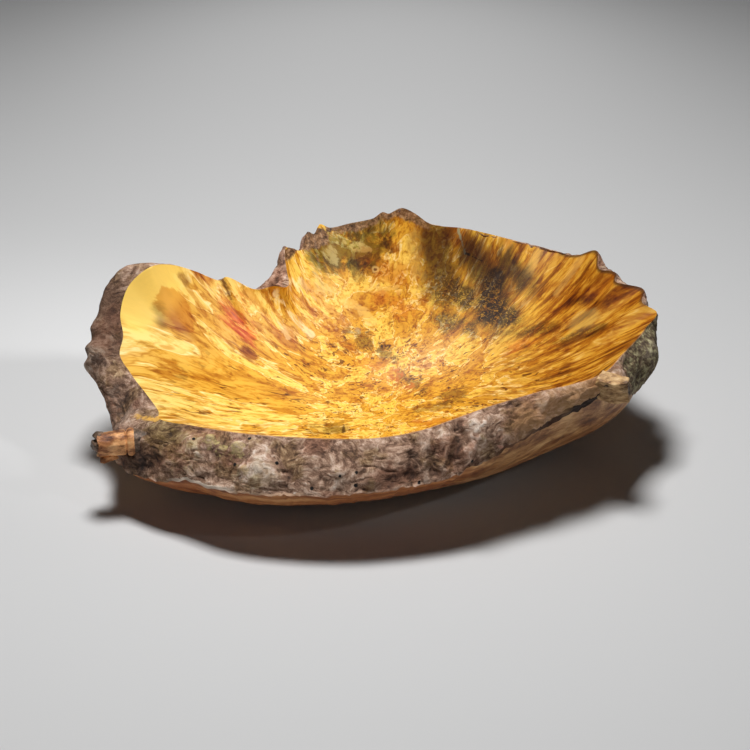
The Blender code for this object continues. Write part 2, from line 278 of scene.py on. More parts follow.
def section(bearing, station):
    """Points of the burl without its relief."""
    parts = [
        hollow(bearing, np.clip(station, 0, 1)),
        band(bearing, np.clip(station - EDGE, 0, 1)),
        underside(bearing, np.clip(station - LOWER, 0, 1)),
    ]
    where = [station <= EDGE, station <= LOWER, station <= END]
    reach = np.select(where, [part[0] for part in parts])
    height = np.select(where, [part[1] for part in parts])
    return placed(bearing, reach, height)


def outward(bearing, station):
    """Unit normals of the smooth band: the cross product of a short step down it and one round it."""
    step = 0.01
    share = np.clip(station, EDGE, LOWER) - EDGE
    after, before = bearing + step, bearing - step
    across = placed(after, *band(after, share)) - placed(before, *band(before, share))
    down = placed(bearing, *band(bearing, share + step)) - placed(bearing, *band(bearing, share - step))
    normal = np.cross(down, across)
    return normal / np.linalg.norm(normal, axis=-1, keepdims=True)


def on_the_band(station, at_edge, at_lower):
    """1 on the natural surface, down to 0 over these shares of it at the live edge and the lower edge."""
    return np.clip((station - EDGE) / at_edge, 0, 1) * np.clip((LOWER - station) / at_lower, 0, 1)


def relief(points, bearing, station):
    """How far the natural surface stands out: swells, knobs and furrows, fine swells that reach closer to
    the edges, creases where other such noise is zero, and the strip that peels off the lower edge at the
    left."""
    calm = 1 - CALM * near(bearing, *CALM_LOBE)
    height = calm * sum(tall * swell(points, size, seed) for size, tall, seed in RELIEF)
    for knob_bearing, place, width, tall in KNOBS:
        centre = section(np.array([float(knob_bearing)]), np.array([EDGE + place]))[0]
        distance = np.linalg.norm(points - centre, axis=-1)
        height = height + tall * np.exp(-((distance / width) ** 2))
    share = np.clip(station - EDGE, 0, 1)
    for at_edge, at_lower, width, tall in FURROWS:
        middle = at_edge + (at_lower - at_edge) * share
        middle = middle + FURROW_WANDER * ripple(share * 360, 40, int(at_edge))
        height = height + tall * near(bearing, middle, width)
    fine = sum(tall * swell(points, size, seed) for size, tall, seed in FINE_RELIEF)
    for size, wide, deep, seed in CREASES:
        fine = fine - deep * np.exp(-((swell(points, size, seed) / wide) ** 2))
    strip_top = PEELING_TOP + PEELING_RAGGED * ripple(bearing, 1.2, 31)
    strip = PEELING_LIFT * near(bearing, *PEELING) * (station > strip_top)
    return height * on_the_band(station, 0.2, 0.15) + fine * calm * on_the_band(station, 0.05, 0.04) + strip


def burl_surface(bearing, station):
    """Points of the finished surface in millimetres, and how far each stands out of the smooth band."""
    points = section(bearing, station)
    on_band = (station >= EDGE) & (station <= LOWER)
    lift = relief(points, bearing, station) * on_band
    return points + outward(bearing, station) * lift[..., None], lift


def ring_stations():
    """The station of each ring: fine on the band, and closest at both of its edges, to keep these crisp."""
    # in the hollow they draw closer together towards the live edge
    inside = np.linspace(0, 1, HOLLOW_RINGS + 1)[1:-1] ** 0.8
    on_band = EDGE + np.linspace(0.004, 0.996, BAND_RINGS)
    below = LOWER + LEDGE_SHARE + (1 - LEDGE_SHARE) * np.linspace(0, 1, UNDERSIDE_RINGS)[:-1]
    return np.concatenate([inside, [0.997, EDGE], on_band, [LOWER, LOWER + 0.01], below])


def even_bearings():
    """Bearings of the segments, at equal steps along the shoulder instead of equal angles."""
    bearing = np.linspace(0, 360, 3601)
    points = placed(bearing, *around(SHOULDER, bearing))
    steps = np.linalg.norm(np.diff(points, axis=0), axis=1)
    travelled = np.concatenate([[0], np.cumsum(steps)])
    return np.interp(np.linspace(0, travelled[-1], SEGMENTS + 1)[:-1], travelled, bearing)


def closed_grid(name, points, poles, u, v):
    """A closed skin over a grid of rings and segments, in metres from points in millimetres: four-sided
    faces from ring to ring, and a fan of triangles to the pole before the first ring and to the one after
    the last. Its UVs are u along each ring, closing at 1, and v from ring to ring."""
    rings, segments = points.shape[:2]
    vertices = np.concatenate([points.reshape(-1, 3), poles]) * MM
    first_pole, last_pole = rings * segments, rings * segments + 1
    column = np.arange(segments)
    after = (column + 1) % segments
    row = np.arange(rings - 1)[:, None] * segments
    quads = np.stack([row + column, row + segments + column, row + segments + after, row + after], axis=-1)
    last = (rings - 1) * segments
    first_fan = np.stack([np.full(segments, first_pole), column, after], axis=-1)
    last_fan = np.stack([np.full(segments, last_pole), last + after, last + column], axis=-1)
    faces = quads.reshape(-1, 4).tolist() + first_fan.tolist() + last_fan.tolist()
    mesh = bpy.data.meshes.new(name)
    mesh.from_pydata(vertices.tolist(), [], faces)

    u_after = np.append(u[1:], 1.0)
    middle = (u + u_after) / 2
    quad_u = np.broadcast_to(np.stack([u, u, u_after, u_after], axis=-1), (rings - 1, segments, 4))
    quad_v = np.stack([v[:-1], v[1:], v[1:], v[:-1]], axis=-1)[:, None, :]
    quad_v = np.broadcast_to(quad_v, (rings - 1, segments, 4))
    first_u = np.stack([middle, u, u_after], axis=-1)
    first_v = np.broadcast_to([0.0, v[0], v[0]], (segments, 3))
    last_u = np.stack([middle, u_after, u], axis=-1)
    last_v = np.broadcast_to([1.0, v[-1], v[-1]], (segments, 3))
    all_u = np.concatenate([quad_u.ravel(), first_u.ravel(), last_u.ravel()])
    all_v = np.concatenate([quad_v.ravel(), first_v.ravel(), last_v.ravel()])
    layer = mesh.uv_layers.new(name="section")
    layer.data.foreach_set("uv", np.stack([all_u, all_v], axis=-1).ravel())
    mesh.shade_smooth()
    return mesh


def give_slots(mesh, segments, slot_of_ring):
    """Material slots by ring: one number for the faces between each pair of rings, the end ones also for the
    fans."""
    fans = [np.full(segments, slot_of_ring[0]), np.full(segments, slot_of_ring[-1])]
    slots = [np.repeat(slot_of_ring, segments)] + fans
    mesh.polygons.foreach_set("material_index", np.concatenate(slots).astype(np.int32))


def burl_mesh():
    """The whole burl: its section drawn at every bearing. How far the natural surface stands out is kept
    as an attribute, for the painted shade and light in its colour."""
    stations = ring_stations()
    bearings = even_bearings()
    bearing, station = np.meshgrid(bearings, stations)
    points, lift = burl_surface(bearing, station)
    poles = section(np.array([0.0, 0.0]), np.array([0.0, END]))
    # the foot is flat
    poles[1, 2] = 0
    mesh = closed_grid("burl", points, poles, bearings / 360, stations / END)
    stored = mesh.attributes.new("relief", "FLOAT", "POINT")
    stored.data.foreach_set("value", np.concatenate([lift.ravel(), [0.0, 0.0]]))
    between = (stations[:-1] + stations[1:]) / 2
    give_slots(mesh, SEGMENTS, np.select([between < EDGE, between < LOWER], [0, 1], 2))
    mesh.set_sharp_from_angle(angle=math.radians(55))
    return mesh


def laid(points, origin, axis):
    """Points turned so that their +z lies along an axis, and moved to an origin."""
    turn = np.array(Vector(axis).to_track_quat("Z", "Y").to_matrix())
    return points @ turn.T + np.array(origin, float)


def stub_mesh():
    """The broken branch: a barrel with a collar of bark, a slit in front of that, and a broken end. Its
    radius is its end's, plus an even taper towards the root and a bell curve for the collar and the slit,
    times noise; its end is pushed in and out by noise."""
    angle = np.linspace(0, 2 * math.pi, STUB_SEGMENTS + 1)[:-1]
    on_end = np.linspace(0, 1, STUB_END_RINGS + 1)[1:]
    along = np.linspace(STUB_LENGTH - 0.5, 0, STUB_SIDE_RINGS)
    side = np.concatenate([np.zeros(STUB_END_RINGS), np.ones(STUB_SIDE_RINGS)])
    tapered = STUB_RADIUS + STUB_TAPER * (1 - along / STUB_LENGTH)
    height = np.concatenate([np.full(STUB_END_RINGS, STUB_LENGTH), along])
    bells = sum(out * np.exp(-(((height - place) / width) ** 2)) for place, width, out in STUB_RINGS)
    radius = np.concatenate([STUB_RADIUS * on_end, tapered]) + bells * side
    flat = radius[:, None, None] * np.stack([np.cos(angle), np.sin(angle)], axis=-1)
    upright = np.broadcast_to(height[:, None, None], flat.shape[:2] + (1,))
    points = np.concatenate([flat, upright], axis=-1)
    broad = swell(points * [1, 1, 0.25], 6.0, 41)
    fine = swell(points * [1, 1, 0.3], 2.2, 42)
    torn = 2.2 * swell(points * [1, 1, 0], 7.0, 43) + 1.1 * swell(points * [1, 1, 0], 2.5, 44)
    torn_from, torn_to = STUB_TORN
    near_end = np.clip((height[:, None] - torn_from) / (torn_to - torn_from), 0, 1)
    points[..., :2] *= (1 + (0.06 * broad + 0.035 * fine) * side[:, None])[..., None]
    points[..., 2] += (torn - 1.5) * near_end
    poles = np.array([[0.0, 0.0, points[0, :, 2].mean()], [0.0, 0.0, 0.0]])
    ring = (np.arange(len(radius)) + 1) / (len(radius) + 1)
    points = laid(points, STUB_ROOT, STUB_AIM)
    poles = laid(poles, STUB_ROOT, STUB_AIM)
    mesh = closed_grid("branch_stub", points, poles, angle / math.tau, ring)
    middle_height = (height[:-1] + height[1:]) / 2
    give_slots(mesh, STUB_SEGMENTS, np.where(middle_height > STUB_BARK_END, 0, 1))
    return mesh


# The planes that the broken chips are cut by, as their normals
CHIP_FACETS = [
    (1, 0, 0.1), (-1, 0.2, 0), (0.1, 1, 0.2), (0, -1, 0.3), (0.2, 0.1, 1), (0, 0, -1), (0.7, -0.7, 0.5),
]


def chip_mesh(name, centre, axis, half_sizes, sharpness, rough, seed):
    """A broken chip: in each direction its skin is the soft least distance to its facets, each a plane
    one unit from the centre: (sum of (n.direction)^p)^(-1/p), with n the facets' normals and p their
    sharpness. It is stretched to its half sizes and roughened by noise."""
    polar = np.linspace(0, math.pi, CHIP_RINGS + 2)[1:-1, None]
    turn = np.linspace(0, 2 * math.pi, CHIP_SEGMENTS + 1)[None, :-1]
    upright = np.broadcast_to(np.cos(polar), (CHIP_RINGS, CHIP_SEGMENTS))
    direction = np.stack([np.sin(polar) * np.cos(turn), np.sin(polar) * np.sin(turn), upright], axis=-1)
    direction = np.concatenate([direction.reshape(-1, 3), [[0, 0, 1], [0, 0, -1]]])
    normals = np.array(CHIP_FACETS, float)
    normals /= np.linalg.norm(normals, axis=1, keepdims=True)
    facing = np.clip(direction @ normals.T, 0, None)
    reach = np.sum(facing**sharpness, axis=1) ** (-1 / sharpness)
    points = direction * np.clip(reach, 0, 1.6)[:, None] * half_sizes
    points = points * (1 + rough * (swell(points, 7.0, seed) + 0.5 * swell(points, 2.5, seed + 1)))[:, None]
    points = laid(points, centre, axis)
    grid = points[:-2].reshape(CHIP_RINGS, CHIP_SEGMENTS, 3)
    ring = (np.arange(CHIP_RINGS) + 1) / (CHIP_RINGS + 1)
    mesh = closed_grid(name, grid, points[-2:], np.arange(CHIP_SEGMENTS) / CHIP_SEGMENTS, ring)
    mesh.set_sharp_from_angle(angle=math.radians(28))
    return mesh


# What many nodes share: a range with eased ends, and a colour laid over another or soaked into it
EASED = {"interpolation_type": "SMOOTHSTEP"}
OVER = "MIX"
SOAKED = "MULTIPLY"
LAID_OVER = {"out": 2, "data_type": "RGBA", "blend_type": OVER}
SOAKED_IN = {"out": 2, "data_type": "RGBA", "blend_type": SOAKED}


def linear(hex_colour):
    """An sRGB hex colour as the linear RGBA that the shaders take."""
    channels = [int(hex_colour[i : i + 2], 16) / 255 for i in (1, 3, 5)]
    return tuple(c / 12.92 if c <= 0.04045 else ((c + 0.055) / 1.055) ** 2.4 for c in channels) + (1.0,)


def add(tree, kind, links, out=0, stops=None, **settings):
    """Adds one node and gives back one of its outputs. Its links are its inputs, by number or name: another
    node's output to link, or a value to set. Stops are the places and colours of a ramp."""
    node = tree.nodes.new("ShaderNode" + kind)
    for name, value in settings.items():
        setattr(node, name, value)
    for key, value in links.items():
        if isinstance(value, bpy.types.NodeSocket):
            tree.links.new(value, node.inputs[key])
        else:
            node.inputs[key].default_value = value
    if stops:
        ramp = node.color_ramp
        while len(ramp.elements) < len(stops):
            ramp.elements.new(0.5)
        for element, (place, colour) in zip(ramp.elements, stops):
            element.position = place
            element.color = linear(colour)
    return node.outputs[out]


def start_material(name, **values):
    """A material with its Principled shader's plain values set by name; gives both and the node tree."""
    material = bpy.data.materials.new(name)
    material.use_nodes = True
    tree = material.node_tree
    shader = tree.nodes["Principled BSDF"]
    for key, value in values.items():
        shader.inputs[key.replace("_", " ")].default_value = value
    return material, tree, shader


def coat(tree, shader, colour, height, strength, depth):
    """Gives a shader its colour, and bumps of this strength and depth in millimetres made from a height."""
    bump = add(tree, "Bump", {"Strength": strength, "Distance": depth * MM, "Height": height})
    tree.links.new(colour, shader.inputs["Base Color"])
    tree.links.new(bump, shader.inputs["Normal"])


def place_in_mm(tree):
    """Object coordinates in millimetres."""
    place = add(tree, "TexCoord", {}, out=3)
    return add(tree, "VectorMath", {0: place, "Scale": 1000.0}, operation="SCALE")


def shaken(tree, vector, size, amount):
    """A vector moved by smooth noise of this size in mm, by up to about half the amount each way."""
    noise = add(tree, "TexNoise", {"Vector": vector, "Scale": 1 / size, "Detail": 2.0}, out=1)
    centred = add(tree, "VectorMath", {0: noise, 1: (0.5, 0.5, 0.5)}, operation="SUBTRACT")
    return add(
        tree, "VectorMath", {0: centred, 1: (amount, amount, amount), 2: vector}, operation="MULTIPLY_ADD"
    )


def mark(tree, place, ragged, start, end, width, soft, spread, strength):
    """From 0 to strength: how far a mark from one point to another covers a place. It is the distance to
    the line between them, made ragged by up to spread millimetres, eased from full at width less soft to
    none at width plus soft."""
    start, end = Vector(start), Vector(end)
    run = end - start
    away = add(tree, "VectorMath", {0: place, 1: start}, operation="SUBTRACT")
    per_length = run / max(run.length_squared, 1.0)
    along = add(tree, "VectorMath", {0: away, 1: per_length}, operation="DOT_PRODUCT", out=1)
    along = add(tree, "Math", {0: along, 1: 0.0}, operation="MAXIMUM")
    along = add(tree, "Math", {0: along, 1: 1.0}, operation="MINIMUM")
    nearest = add(tree, "VectorMath", {0: run, "Scale": along}, operation="SCALE")
    distance = add(tree, "VectorMath", {0: away, 1: nearest}, operation="DISTANCE", out=1)
    distance = add(tree, "Math", {0: ragged, 1: spread, 2: distance}, operation="MULTIPLY_ADD")
    limits = {0: distance, 1: width + soft, 2: width - soft, 4: strength}
    return add(tree, "MapRange", limits, **EASED)


def marked(tree, colour, place, ragged, marks):
    """A colour with marks laid over it or soaked into it, one after another."""
    for blend, start, end, width, soft, spread, strength, paint in marks:
        cover = mark(tree, place, ragged, start, end, width, soft, spread, strength)
        colour = add(
            tree, "Mix", {0: cover, 6: colour, 7: linear(paint)}, out=2, data_type="RGBA", blend_type=blend
        )
    return colour


# Marks of the hollow, stains and a few of painted sheen and shadow: how each lies, start, end, half
# width, softness, raggedness, strength and colour
STAINS_AND_PAINTED_LIGHT = [
    # the left lobe: plain gold, a tan patch with a crisp edge, a bluish smudge and brown spots at its edge
    (OVER, (-226, 36, 142), (-202, 60, 160), 25, 8, 5, 0.85, "#FFDA6C"),
    (SOAKED, (-194, 54, 138), (-182, 52, 122), 15, 3.0, 20, 0.9, "#E4C294"),
    (SOAKED, (-208, 42, 136), (-204, 34, 122), 4.5, 4.5, 8, 0.6, "#9E9C94"),
    (SOAKED, (-188, 72, 158), (-183, 72, 151), 4.5, 3.0, 6, 0.85, "#8C6040"),
    (SOAKED, (-172, 82, 155), (-154, 88, 148), 5, 3, 8, 0.8, "#D09C5C"),
    # the red stain below a dark fissure, and the knot below it
    (SOAKED, (-143, 82, 118), (-122, 76, 98), 11, 6, 20, 0.65, "#F2AE5C"),
    (SOAKED, (-142, 82, 117), (-128, 78, 104), 7, 4, 18, 0.8, "#EE9C50"),
    (SOAKED, (-127, 78, 104), (-119, 74, 90), 4.5, 3, 14, 0.7, "#E8944C"),
    (SOAKED, (-149, 92, 144), (-138, 85, 122), 2.6, 1.8, 7, 0.9, "#66403A"),
    (SOAKED, (-128, 61, 80), (-119, 59, 76), 3.5, 2.0, 6, 0.85, "#A46834"),
    # tan and cream bands that run down from the notch; the cream ones are veins, made paler to
    # paint the sheen on the notch's wall as well
    (SOAKED, (-122, 97, 128), (-92, 91, 86), 5, 1.4, 10, 0.85, "#E2C494"),
    (SOAKED, (-108, 100, 127), (-76, 88, 78), 4, 1.4, 9, 0.85, "#DEC09C"),
    (OVER, (-97, 101, 123), (-60, 95, 80), 2.8, 2.0, 9, 0.65, "#FFE8B0"),
    (SOAKED, (-84, 112, 128), (-48, 106, 84), 4.5, 1.6, 12, 0.85, "#DEC09C"),
    (OVER, (-81, 118, 131), (-12, 112, 78), 2.6, 2.0, 9, 0.65, "#FFE6A8"),
    (OVER, (-111, 98, 126), (-84, 86, 84), 1.8, 1.2, 8, 0.6, "#FFE6A8"),
    (OVER, (-72, 124, 128), (-30, 106, 78), 1.8, 1.2, 9, 0.6, "#FFE6A8"),
    (OVER, (-60, 138, 134), (-5, 118, 80), 1.6, 1.2, 9, 0.55, "#FBDE98"),
    (SOAKED, (-64, 126, 122), (-24, 117, 82), 5, 1.6, 12, 0.8, "#DEBE98"),
    (OVER, (-57, 132, 124), (2, 126, 84), 4, 1.6, 10, 0.5, "#F8CC6C"),
    (SOAKED, (-56, 116, 100), (-18, 98, 62), 5, 1.8, 12, 0.75, "#DEBE98"),
    (OVER, (-62, 140, 142), (-20, 132, 100), 4.5, 1.6, 10, 0.45, "#F3C25C"),
    (SOAKED, (-98, 88, 86), (-80, 82, 74), 8, 2.0, 16, 0.6, "#DEB684"),
    # blue-green and olive stain at the back with pale patches in it
    (SOAKED, (-46, 150, 148), (-4, 166, 148), 21, 9, 22, 0.9, "#909A86"),
    (SOAKED, (-56, 148, 144), (0, 158, 124), 6, 4, 9, 0.7, "#A5A684"),
    (SOAKED, (-14, 172, 164), (12, 176, 160), 9, 8, 12, 0.7, "#7C7862"),
    (SOAKED, (-20, 152, 130), (-6, 152, 122), 7, 5, 10, 0.6, "#8F8E78"),
    (OVER, (-24, 165, 152), (-6, 167, 146), 5, 2.5, 16, 0.55, "#E6CC7C"),
    (OVER, (-44, 153, 147), (-36, 153, 140), 4, 2.5, 12, 0.5, "#DCC67C"),
    # tan below the peak, with an eye, and orange and gold under it
    (SOAKED, (-4, 160, 134), (28, 158, 118), 14, 8, 18, 0.75, "#DCB078"),
    (SOAKED, (15, 171, 151), (27, 169, 144), 4.5, 2.0, 8, 0.7, "#B07C48"),
    (OVER, (5, 157, 126), (6, 157, 126), 3.2, 1.2, 2, 0.55, "#F0C878"),
    (SOAKED, (5, 157, 126), (6, 157, 126), 1.4, 0.8, 1, 0.9, "#7A4A22"),
    (OVER, (2, 147, 112), (48, 148, 104), 3.5, 2, 14, 0.55, "#F6CB66"),
    (SOAKED, (12, 141, 98), (56, 139, 90), 8, 6, 18, 0.6, "#E8AC66"),
    (OVER, (46, 180, 162), (50, 160, 122), 7, 3, 14, 0.45, "#EDBC58"),
    (SOAKED, (10, 182, 178), (42, 185, 180), 6, 3, 8, 0.65, "#B08450"),
    # a flush of orange, brown bands and gold streaks on the back right and the right
    (SOAKED, (150, 84, 75), (172, 74, 84), 9, 6, 26, 0.6, "#F4B468"),
    (SOAKED, (88, 182, 156), (124, 164, 132), 12, 8, 12, 0.8, "#B8844C"),
    (OVER, (146, 174, 156), (140, 164, 142), 3.5, 1.5, 5, 0.6, "#E3A548"),
    (SOAKED, (160, 168, 156), (152, 158, 136), 5, 1.6, 5, 0.85, "#9A6830"),
    (OVER, (176, 160, 154), (164, 146, 128), 6, 2, 6, 0.65, "#F0BC58"),
    (SOAKED, (190, 152, 150), (174, 134, 122), 2.5, 1.2, 4, 0.8, "#9A6830"),
    (OVER, (216, 130, 152), (190, 112, 120), 5, 2.5, 7, 0.5, "#E2AC54"),
    (SOAKED, (226, 118, 152), (204, 104, 126), 3, 1.5, 5, 0.7, "#96602C"),
    (SOAKED, (244, 88, 150), (222, 82, 128), 9, 4, 12, 0.5, "#CC9450"),
    (OVER, (222, 68, 116), (200, 70, 104), 7, 5, 14, 0.4, "#BFA05A"),
    # painted shadow where the hollow dips behind its near edge, above the knob
    (SOAKED, (214, -52, 113), (238, -50, 124), 4, 3, 4, 0.85, "#5A3A1E"),
    # smoky patches and orange ones on the floor, and its crack
    (SOAKED, (-22, 112, 72), (2, 106, 62), 5, 5, 18, 0.65, "#84806E"),
    (SOAKED, (8, 104, 60), (22, 98, 54), 5, 3, 14, 0.7, "#7C7A66"),
    (SOAKED, (34, 76, 40), (52, 62, 35), 9, 5, 22, 0.75, "#84806A"),
    (SOAKED, (76, 46, 36), (88, 44, 38), 9, 5, 18, 0.65, "#8F8165"),
    (SOAKED, (-38, -4, 28), (-28, 2, 27), 9, 5, 18, 0.5, "#9A8B68"),
    (SOAKED, (-56, -8, 28), (-32, -8, 28), 7, 4, 14, 0.65, "#A69C6C"),
    (SOAKED, (50, 28, 31), (74, 32, 33), 7, 4, 18, 0.6, "#9A8A60"),
    (OVER, (28, 74, 40), (44, 62, 34), 5, 3, 24, 0.65, "#CC6A18"),
    (OVER, (4, 88, 48), (20, 82, 44), 6, 4, 20, 0.5, "#CF7E22"),
    (OVER, (48, 6, 30), (66, 8, 31), 4, 2, 16, 0.5, "#CB7012"),
    (SOAKED, (-26, -16, 27), (-26, 6, 27), 0.9, 0.8, 3, 0.85, "#5B3A1C"),
    # the grey-green crack from the back edge
    (OVER, (92, 182, 161), (99, 169, 139), 0.9, 0.6, 2, 0.9, "#B8B48C"),
    (SOAKED, (101, 170, 138), (116, 164, 133), 1.1, 0.7, 3, 0.95, "#3A2818"),
]

# Where bark shows inside the edge, at the teeth of the back left: start, end, half width, softness,
# raggedness
INNER_BARK = [
    ((-86, 128, 156), (-76, 138, 160), 7, 1.5, 6),
    ((-66, 150, 164), (-54, 157, 163), 11, 1.5, 8),
    ((-42, 165, 170), (-10, 173, 168), 5, 1.5, 6),
]

# Smoky charcoal spalting at the back right: start, end, half width, softness, raggedness, strength
SPALTING = [
    ((68, 178, 152), (78, 150, 106), 20, 14, 9, 0.86),
    ((74, 158, 116), (100, 142, 102), 13, 9, 12, 0.92),
    ((104, 170, 140), (128, 146, 112), 19, 12, 9, 0.9),
    ((128, 152, 118), (124, 124, 90), 17, 10, 8, 1.0),
    ((122, 124, 88), (146, 118, 88), 12, 9, 12, 0.95),
    ((142, 160, 134), (160, 142, 120), 13, 9, 12, 0.88),
    ((134, 104, 78), (186, 84, 92), 5, 8, 14, 0.72),
    ((72, 130, 82), (106, 118, 76), 8, 7, 14, 0.8),
    ((158, 78, 76), (230, 46, 114), 2.5, 5, 9, 0.66),
    ((178, 112, 112), (236, 72, 130), 2.5, 5, 9, 0.55),
]

# Holes of wood-boring beetles in the natural surface, painted as near-black discs of the shade inside
# them. Real ones are about 2 mm across, and these are drawn at 3.6 mm, so that they show.
BORE_HOLES = [
    (-159, -137, 93), (-120, -165, 82), (-108, -144, 97), (-82, -172, 88), (-51, -189, 72), (-26, -187, 84),
    (-11, -183, 85), (-12, -189, 75), (44, -182, 74), (92, -166, 86), (150, 164, 120), (60, 190, 132),
    (-30, 182, 128), (-246, 60, 120), (-262, 34, 98), (262, 60, 116),
]


def figure_place(tree, place):
    """Coordinates that the burl's figure is even in. Seen from above, its lines run along x over the
    floor and fan out towards both ends, so the second coordinate is how far a line lies from the middle
    one, divided by the spread there. The first changes slowly along the lines and ever more slowly up the
    ends; the third is an eighth of the height."""
    parts = add(tree, "SeparateXYZ", {0: place}).node.outputs
    middle = add(tree, "MapRange", {0: parts[0], 1: -60.0, 2: 120.0, 3: 50.0, 4: 75.0}, **EASED)
    from_middle = add(tree, "Math", {0: parts[1], 1: middle}, operation="SUBTRACT")
    # the spread on the right: the root of 1 + ((x - 80) / 45)^2, and even left of x = 80
    right = add(tree, "MapRange", {0: parts[0], 1: 80.0, 2: 305.0, 4: 5.0})
    right = add(tree, "Math", {0: right, 1: right, 2: 1.0}, operation="MULTIPLY_ADD")
    right = add(tree, "Math", {0: right, 1: 0.5}, operation="POWER")
    # and on the left: ((-60 - x) / 110)^1.5 more
    left = add(tree, "MapRange", {0: parts[0], 1: -60.0, 2: -280.0, 4: 2.0})
    left = add(tree, "Math", {0: left, 1: 1.5}, operation="POWER")
    spread = add(tree, "Math", {0: right, 1: left}, operation="ADD")
    line = add(tree, "Math", {0: from_middle, 1: spread}, operation="DIVIDE")
    # along the lines: d / root of (1 + (d / 120)^2), d counted from x = 30
    run = add(tree, "Math", {0: parts[0], 1: 30.0}, operation="SUBTRACT")
    slowed = add(tree, "Math", {0: run, 1: 120.0}, operation="DIVIDE")
    slowed = add(tree, "Math", {0: slowed, 1: slowed, 2: 1.0}, operation="MULTIPLY_ADD")
    slowed = add(tree, "Math", {0: slowed, 1: -0.5}, operation="POWER")
    run = add(tree, "Math", {0: run, 1: slowed}, operation="MULTIPLY")
    grain = add(tree, "CombineXYZ", {0: run, 1: line, 2: parts[2]})
    return add(tree, "VectorMath", {0: grain, 1: (0.65, 1.0, 0.125)}, operation="MULTIPLY")


